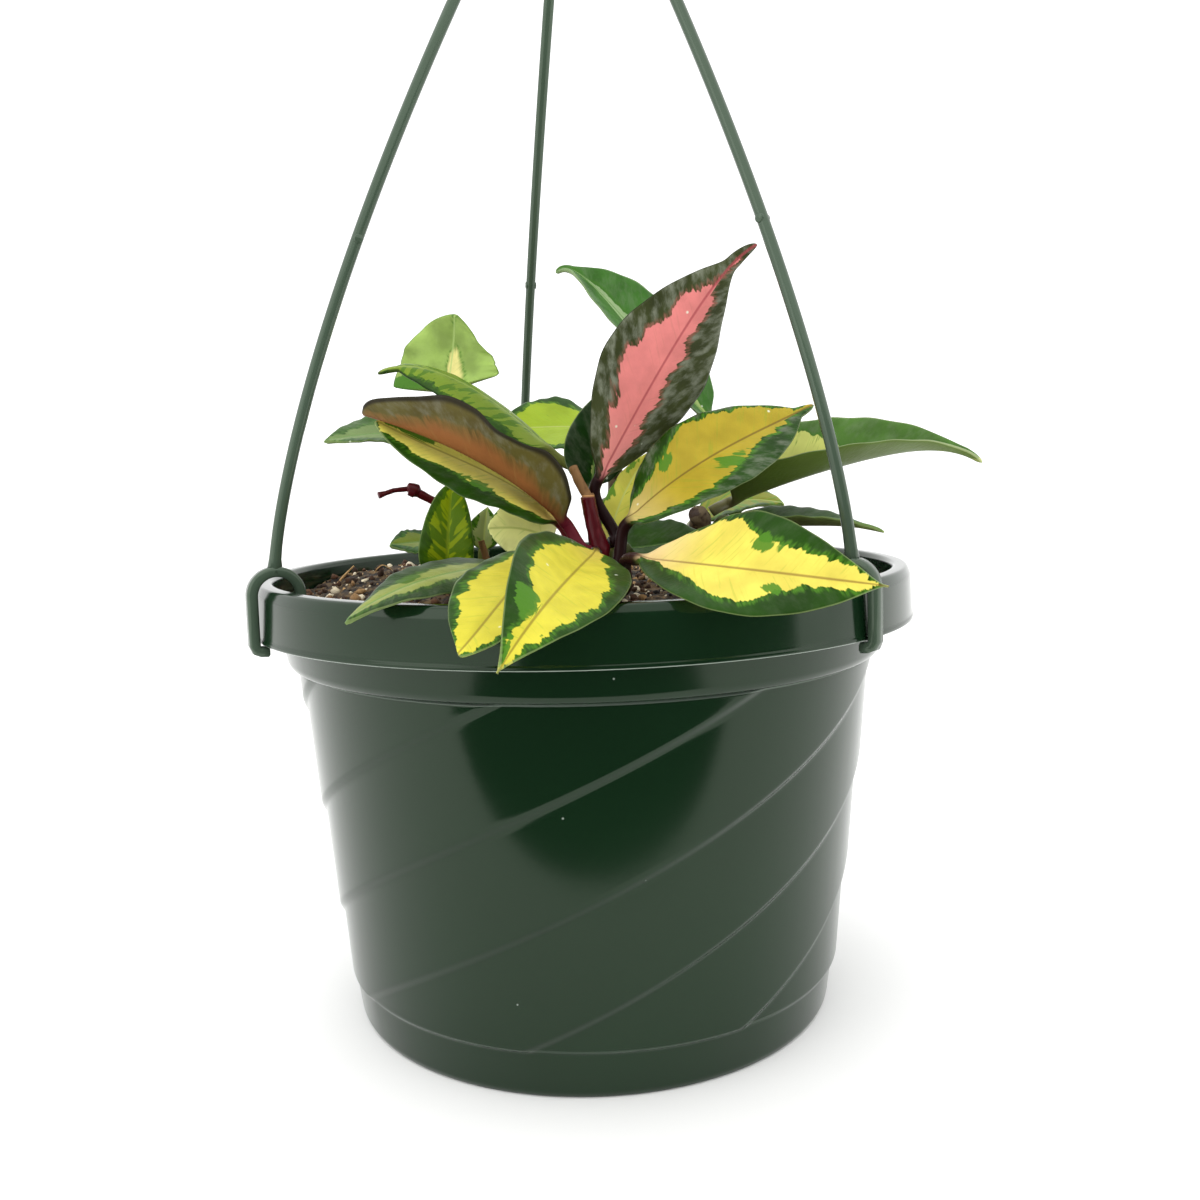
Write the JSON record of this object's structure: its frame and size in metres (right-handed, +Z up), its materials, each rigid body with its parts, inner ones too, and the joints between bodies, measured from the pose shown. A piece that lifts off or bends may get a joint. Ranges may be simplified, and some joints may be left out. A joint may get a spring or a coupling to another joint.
{
  "type": "potted hanging plant",
  "caption": "Variegated hoya cuttings in a round dark green nursery pot with spiral ribs, a rolled collar and a clip-on plastic hanger with a hook.",
  "frame": {"origin": "centre of the pot's flat base, where it stands", "axes": "+Z up through the pot to the hook, -Y to the front, where the leaves hang over the collar, +X to the right"},
  "size_m": [0.1753, 0.1783, 0.3253],
  "materials": {
    "pot_plastic": "satin gloss, dark green",
    "hanger_plastic": "satin, grey-green",
    "soil": "matte, peat with perlite",
    "stem": "smooth, burgundy",
    "dry_wood": "dry, brown",
    "leaf_green": "waxy",
    "leaf_lime": "waxy",
    "leaf_yellow": "waxy",
    "leaf_pink": "waxy",
    "leaf_bronze": "waxy"
  },
  "bodies": {
    "root": {"pot": "pot_plastic", "hanger": "hanger_plastic", "soil": "soil", "stem_front": "stem", "stem_low": "stem", "stem_right": "stem", "stem_left": "stem", "stem_back": "stem", "dry_stalk": "dry_wood", "flower_stalk": "stem", "leaf_pink": "leaf_pink", "leaf_bronze": "leaf_bronze", "leaf_yellow_left": "leaf_yellow", "leaf_olive": "leaf_yellow", "leaf_gold_front": "leaf_yellow", "leaf_gold_right": "leaf_yellow", "leaf_pale_strip": "leaf_yellow", "leaf_dark_low": "leaf_green", "leaf_gold_left": "leaf_yellow", "leaf_dark_left": "leaf_green", "leaf_pale_mid": "leaf_yellow", "leaf_long_right": "leaf_green", "leaf_thin_right": "leaf_green", "leaf_lime_right": "leaf_lime", "leaf_crinkled": "leaf_lime", "leaf_grey_left": "leaf_green", "leaf_speckled": "leaf_lime", "leaf_small_left": "leaf_green", "leaf_curl_low": "leaf_green", "leaf_lime": "leaf_lime", "leaf_lime_back": "leaf_lime", "leaf_green_back": "leaf_green", "leaf_dark_mid": "leaf_green"}
  },
  "joints": []
}
